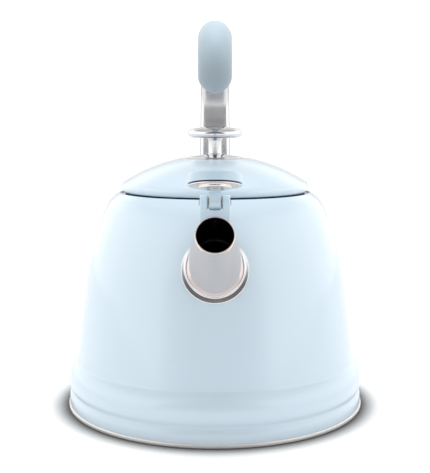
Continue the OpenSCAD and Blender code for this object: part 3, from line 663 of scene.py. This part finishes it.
for i in range(1, 17):
    angle = GRIP_START * i / 16
    here = []
    for x, depth in bar_ring(half_width(bar_top + BEND_ARC * math.sin(math.radians(angle))), UPRIGHT_T,
                             BAR_CORNER, BAR_CORNER):
        y, z = bend_c + polar(BEND_ARC - UPRIGHT_T / 2 + depth, angle)
        here.append(Vector((x, y, z)))
    bar_rings.append(here)
upright = lofted("upright", bar_rings, crisp=50)
fit(upright, "kettle", "polished_steel", "handle_upright")

# %% [markdown]
# ## Finishes
# Every finish is built from nodes, with its grain set by real sizes in millimetres. Colours are written as
# the hex values a designer would give and turned to linear light by one function. Where a grain is too fine
# to see at this distance, it is drawn coarser, and the comment says so.

# %% Colour and node helpers
def linear(code):
    """An sRGB hex colour as linear red, green, blue and alpha."""
    values = [int(code[i:i + 2], 16) / 255 for i in (1, 3, 5)]
    return (*[v / 12.92 if v <= 0.04045 else ((v + 0.055) / 1.055) ** 2.4 for v in values], 1)


def add(tree, kind, settings=None, links=None):
    """Adds a node. Settings are its own fields; links are sockets with a value or another node's output."""
    made = tree.nodes.new("ShaderNode" + kind)
    for name, value in (settings or {}).items():
        setattr(made, name, value)
    for socket, value in (links or {}).items():
        if isinstance(value, bpy.types.NodeSocket):
            tree.links.new(value, made.inputs[socket])
        else:
            made.inputs[socket].default_value = value
    return made


def material(name, **sockets):
    """A new material with its shader's own sockets set. Names of sockets are written with underscores."""
    made = bpy.data.materials.new(name)
    made.use_nodes = True
    shader = made.node_tree.nodes["Principled BSDF"]
    for socket, value in sockets.items():
        shader.inputs[socket.replace("_", " ")].default_value = value
    return made, made.node_tree, shader


def grain(size_mm):
    """A noise scale whose features are this many millimetres across."""
    return 1000 / size_mm


def noise(tree, where, size_mm, detail):
    """A noise over the piece, as a number from 0 to 1."""
    made = add(tree, "TexNoise", None, {"Vector": where, "Scale": grain(size_mm), "Detail": detail})
    return made.outputs["Fac"]


def drift(tree, shader, where, size_mm, detail, first, second):
    """Lets the colour drift between two close ones."""
    tone = add(tree, "Mix", {"data_type": "RGBA"}, {
        0: noise(tree, where, size_mm, detail), 6: linear(first), 7: linear(second)})
    tree.links.new(tone.outputs[2], shader.inputs["Base Color"])


def vary_gloss(tree, shader, height, smooth, rough):
    """Lets the roughness follow a noise."""
    span = add(tree, "MapRange", None, {"Value": height, "To Min": smooth, "To Max": rough})
    tree.links.new(span.outputs["Result"], shader.inputs["Roughness"])


def raise_skin(tree, shader, height, strength, depth_mm, socket="Normal"):
    """Lets the skin rise and fall with a noise."""
    bump = add(tree, "Bump", None, {"Height": height, "Strength": strength, "Distance": depth_mm * MM})
    tree.links.new(bump.outputs["Normal"], shader.inputs[socket])


finishes = {}
print("mid grey is", round(linear("#808080")[0], 3), "in linear light")

# %% [markdown]
# ### Stoved enamel paint on pressed steel
# Sprayed on and baked, this coat is a pale pigment under a clear, hard, glossy skin. The eye sees an even
# pastel with sharp soft-box reflections on top, and a very slight orange peel about 2 mm across.

# %% Enamel on the body and lid
made, tree, shader = material("stoved_enamel_sprayed", Roughness=0.38, Coat_Weight=1.0, Coat_Roughness=0.04,
                              Coat_IOR=1.5)
where = add(tree, "TexCoord").outputs["Object"]
drift(tree, shader, where, 70, 2.0, "#D2E4F0", "#CFE2EF")
vary_gloss(tree, shader, noise(tree, where, 25, 3.0), 0.33, 0.43)
raise_skin(tree, shader, noise(tree, where, 2.2, 1.0), 0.25, 0.02, "Coat Normal")
finishes["enamel_blue"] = made

# %% [markdown]
# ### Glossy moulded resin
# The whistle's cap and fork are injection moulded in a heat-proof resin of the same blue. The mould was
# finely blasted, so the gloss is a little softer than the paint's and light sinks slightly into the resin.

# %% Resin on the whistle's parts
made, tree, shader = material("heatproof_resin_moulded", Roughness=0.22, IOR=1.5, Subsurface_Weight=0.05,
                              Subsurface_Scale=0.002)
where = add(tree, "TexCoord").outputs["Object"]
drift(tree, shader, where, 9, 2.0, "#C9DEEC", "#C5DBEA")
blast = noise(tree, where, 0.4, 2.0)
vary_gloss(tree, shader, blast, 0.18, 0.3)
raise_skin(tree, shader, blast, 0.2, 0.02)
finishes["whistle_blue"] = made

# %% [markdown]
# ### Soft-touch coated resin
# The grip is moulded and then coated with a satin soft-touch lacquer. Its skin is finely pebbled, about
# 0.3 mm from bump to bump, so highlights spread into broad gradients and the hand does not slip.

# %% Soft-touch coat on the grip
made, tree, shader = material("soft_touch_lacquer_sprayed", Roughness=0.5, IOR=1.46, Sheen_Weight=0.12,
                              Sheen_Roughness=0.5)
where = add(tree, "TexCoord").outputs["Object"]
# painted shade: the grip's blue is set far darker than the body's paint, standing in for the shade that falls
# on it
drift(tree, shader, where, 40, 2.0, "#96A4AD", "#92A1AB")
pebble = noise(tree, where, 0.35, 2.0)
vary_gloss(tree, shader, pebble, 0.42, 0.56)
raise_skin(tree, shader, pebble, 0.3, 0.03)
finishes["grip_blue"] = made

# %% [markdown]
# ### Metals
# Stainless steel is nearly neutral, a touch warm. How it was finished decides how it looks: a buffing wheel
# leaves a mirror with faint haze, a lathe leaves rings, a press leaves satin, rolling leaves long lines.
# Each metal here shares one recipe with its own colour, roughness and stretch of the grain.

# %% One recipe for the metals
def steel(name, colour, smooth, rough, size_mm, stretch, depth_mm, rings=False, painted_corner_shade=0.5, edge="#FFFFFF"):
    """A metal whose roughness and bump follow a grain. Rings turn the grain round the upright axis.
    Painted corner shade darkens the base colour in tight corners, and edge tints the metal where it is seen
    edge on."""
    made, tree, shader = material(name, Metallic=1.0, Roughness=(smooth + rough) / 2,
                                  Base_Color=linear(colour), Specular_Tint=linear(edge))
    where = add(tree, "TexCoord").outputs["Object"]
    if rings:
        flat = add(tree, "VectorMath", {"operation": "MULTIPLY"}, {0: where, 1: (1, 1, 0)})
        radius = add(tree, "VectorMath", {"operation": "LENGTH"}, {0: flat.outputs["Vector"]})
        height = add(tree, "SeparateXYZ", None, {0: where})
        where = add(tree, "CombineXYZ", None, {
            "X": radius.outputs["Value"], "Y": height.outputs["Z"]}).outputs[0]
    where = add(tree, "Mapping", None, {"Vector": where, "Scale": stretch}).outputs["Vector"]
    lines = add(tree, "TexNoise", None, {"Vector": where, "Scale": grain(size_mm), "Detail": 3.0})
    span = add(tree, "MapRange", None, {"Value": lines.outputs["Fac"], "From Min": 0.3, "From Max": 0.7,
                                        "To Min": smooth, "To Max": rough})
    tree.links.new(span.outputs["Result"], shader.inputs["Roughness"])
    tint = add(tree, "MixRGB", {"blend_type": "MULTIPLY"}, {
        "Fac": 0.06, "Color1": linear(colour), "Color2": lines.outputs["Color"]})
    # painted shade: the base colour darkens where ambient occlusion finds tight corners, so they look deeper
    corner = add(tree, "AmbientOcclusion", None, {"Distance": 0.006})
    corner_shade_factor = add(tree, "MapRange", None, {"Value": corner.outputs["AO"], "From Min": 0.1, "From Max": 0.75,
                                        "To Min": 1 - painted_corner_shade, "To Max": 1.0})
    shown = add(tree, "MixRGB", {"blend_type": "MULTIPLY"}, {
        "Fac": 1.0, "Color1": tint.outputs[0], "Color2": corner_shade_factor.outputs["Result"]})
    tree.links.new(shown.outputs[0], shader.inputs["Base Color"])
    raise_skin(tree, shader, lines.outputs["Fac"], 0.3, depth_mm)
    return made


EVEN = (1, 1, 1)
# buffed mirror: haze patches of a few millimetres, almost no depth
finishes["polished_steel"] = steel(
    "stainless_steel_buffed", "#DFDEDF", 0.07, 0.12, 6.0, EVEN, 0.0008, painted_corner_shade=0.35, edge="#F4F4F6")
finishes["spout_steel"] = steel(
    "stainless_steel_satin_polished", "#E8DDD9", 0.08, 0.14, 5.0, EVEN, 0.0008, painted_corner_shade=0.15, edge="#FAF2F0")
# painted shade: a dark edge tint, so the bar's rounded edges darken where they are seen edge on
finishes["bar_steel"] = steel(
    "stainless_steel_satin_bar", "#DFDEDF", 0.2, 0.27, 5.0, EVEN, 0.0008, painted_corner_shade=0.35, edge="#5C5C60")
# painted shade: near-black steel for the inside of the spout, standing in for the shadow there
finishes["blackened_steel"] = steel("steel_painted_shade_dark", "#2A2A2C", 0.4, 0.6, 0.8, EVEN, 0.002)
# lathe brushing is about 0.05 mm between lines, drawn at 0.4 mm so that it shows
finishes["base_steel"] = steel(
    "stainless_steel_lathe_brushed", "#F0EEEB", 0.42, 0.56, 0.4, EVEN, 0.002, rings=True, painted_corner_shade=0.0)
finishes["inner_steel"] = steel("stainless_steel_drawn", "#C9C8C6", 0.28, 0.42, 1.2, (1, 1, 0.2), 0.003)
finishes["whistle_steel"] = steel("stainless_steel_pressed_satin", "#F2E8E2", 0.2, 0.3, 0.8, EVEN, 0.002)
finishes["hardware_steel"] = steel("stainless_steel_turned", "#C6C5C5", 0.22, 0.34, 0.3, EVEN, 0.002)
# rolled plate: lines many times longer than they are wide
finishes["core_aluminium"] = steel(
    "aluminium_rolled_plate", "#D4D6D8", 0.3, 0.45, 0.5, (0.05, 1, 1), 0.003)
print(len(finishes), "finishes so far")

# %% [markdown]
# ### Moulded silicone
# The seals are dark blue-grey silicone. It has no gloss to speak of, a fine blasted skin, and a little
# dust-like mottling where it has been handled.

# %% Silicone on the seals
made, tree, shader = material("silicone_moulded", Roughness=0.55, IOR=1.41)
where = add(tree, "TexCoord").outputs["Object"]
drift(tree, shader, where, 3, 3.0, "#10243C", "#182F48")
raise_skin(tree, shader, noise(tree, where, 0.3, 1.0), 0.3, 0.02)
finishes["dark_silicone"] = made

# %% Put the finishes on
for piece, slot in pieces:
    piece.data.materials.clear()
    piece.data.materials.append(finishes[slot])
for part in frame["record"]["subparts"]:
    solid = frame["nodes"][part["node"]]
    solid.data.materials.clear()
    solid.data.materials.append(finishes[part["material_slot"]])
# the upright is a satin bar; the spout is satin outside and painted near black inside, a painted shade for
# the shadow in its bore
upright.data.materials[0] = finishes["bar_steel"]
spout.data.materials[0] = finishes["spout_steel"]
spout.data.materials.append(finishes["blackened_steel"])
axis = spout_frame.to_3x3() @ Vector((0, 0, 1))
for face in spout.data.polygons:
    out = face.center / MM - mouth
    out -= axis * out.dot(axis)
    if face.normal.dot(out.normalized()) < -0.5:
        face.material_index = 1
print(len(pieces), "new pieces and", len(frame["nodes"]) - len(pieces), "solids have finishes")

# %% [markdown]
# ## The studio
# The kettle stands on a white sweep. The room is bright on both sides and above, with a darker opening in
# front where the camera stands and a dim one far behind, because polished metal only looks like metal when
# it has something dark to reflect. A soft box close above the grip makes its top the brightest part.

# %% Floor and room
FLOOR_R, SWEEP_GLOW = 3.0, 0.3


def ramp(tree, value, low, high, at_low=0.0, at_high=1.0):
    """A soft step from one number to another, as a value climbs from low to high."""
    return add(tree, "MapRange", {"interpolation_type": "SMOOTHSTEP"}, {
        "Value": value, "From Min": low, "From Max": high, "To Min": at_low, "To Max": at_high}).outputs[0]


floor_mesh = bpy.data.meshes.new("sweep")
floor_corners = [(FLOOR_R * x, FLOOR_R * y, 0) for x, y in ((-1, -1), (1, -1), (1, 1), (-1, 1))]
floor_mesh.from_pydata(floor_corners, [], [(0, 1, 2, 3)])
floor = bpy.data.objects.new("sweep", floor_mesh)
bpy.context.scene.collection.objects.link(floor)
made, tree, shader = material("matt_white_board", Roughness=0.9)
# the board darkens where something stands close to it, which gives a crisp line of shade under the rim
near = add(tree, "AmbientOcclusion", None, {"Distance": 0.02})
shade_near = ramp(tree, near.outputs["AO"], 0.46, 0.97, 0.03, 0.97)
tree.links.new(shade_near, shader.inputs["Base Color"])
# the sweep is lit from behind a little, so that it stays white under the dim ceiling
glow = add(tree, "Math", {"operation": "MULTIPLY"}, {0: shade_near, 1: SWEEP_GLOW})
shader.inputs["Emission Color"].default_value = linear("#FFFFFF")
tree.links.new(glow.outputs[0], shader.inputs["Emission Strength"])
floor.data.materials.append(made)

world = bpy.data.worlds.new("studio")
bpy.context.scene.world = world
world.use_nodes = True
tree = world.node_tree
tree.nodes.clear()
way = add(tree, "TexCoord").outputs["Generated"]
toward = add(tree, "SeparateXYZ", None, {0: way}).outputs
FRONT_LOW, FRONT_DARK, BACK_DARK, SIDES, CEILING, SEEN_WHITE = 0.47, 0.18, 0.8, 1.64, 0.66, 1.1
ahead = add(tree, "Math", {"operation": "MULTIPLY"}, {0: toward["Y"], 1: -1.0}).outputs[0]
front = ramp(tree, ahead, 0.62, 0.86)
behind = ramp(tree, toward["Y"], 0.84, 0.96)
high = ramp(tree, toward["Z"], 0.35, 0.75, SIDES, CEILING)
opening = ramp(tree, toward["Z"], -0.02, 0.06, FRONT_LOW, FRONT_DARK)
dim = add(tree, "Mix", None, {0: front, 2: high, 3: opening})
room_light = add(tree, "Mix", None, {0: behind, 2: dim.outputs[0], 3: BACK_DARK})
seen = add(tree, "LightPath").outputs["Is Camera Ray"]
lit = add(tree, "Background", None, {"Color": linear("#FFFFFF"), "Strength": room_light.outputs[0]})
plain = add(tree, "Background", None, {"Color": linear("#FFFFFF"), "Strength": SEEN_WHITE})
both = add(tree, "MixShader", None, {0: seen, 1: lit.outputs[0], 2: plain.outputs[0]})
add(tree, "OutputWorld", None, {"Surface": both.outputs[0]})


def softbox(name, place, target, width, height, glow):
    """A rectangular soft light. Glow is how bright its face looks, so its power follows from its size."""
    data = bpy.data.lights.new(name, "AREA")
    data.shape, data.size, data.size_y = "RECTANGLE", width, height
    data.energy = glow * math.pi * width * height
    made = bpy.data.objects.new(name, data)
    bpy.context.scene.collection.objects.link(made)
    made.location = place
    made.visible_glossy = False
    made.rotation_euler = (Vector(target) - Vector(place)).to_track_quat("-Z", "Y").to_euler()


grip_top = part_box("handle_grip")[1].z
softbox("box_above_grip", (0, -0.08, grip_top + 0.09), (0, -0.01, grip_top - 0.01), 0.1, 0.06, 10.0)
print("grip top at", round(grip_top * 1000, 1), "mm")

# %% [markdown]
# ## The camera
# A long lens a little above the lid looks slightly down, so the base shows as a shallow curve and the mouth
# of the spout as a near circle.

# %% Place the camera
CAMERA_BACK, CAMERA_UP, LOOK_DOWN, LENS = 0.5802, 0.1817, 7.448, 70.09
camera_data = bpy.data.cameras.new("camera")
camera_data.lens, camera_data.sensor_width = LENS, 36
camera = bpy.data.objects.new("camera", camera_data)
bpy.context.scene.collection.objects.link(camera)
camera.location = (0, -CAMERA_BACK, CAMERA_UP)
camera.rotation_euler = (math.radians(90 - LOOK_DOWN), 0, 0)
bpy.context.scene.camera = camera
bpy.context.scene.view_settings.view_transform = "Standard"
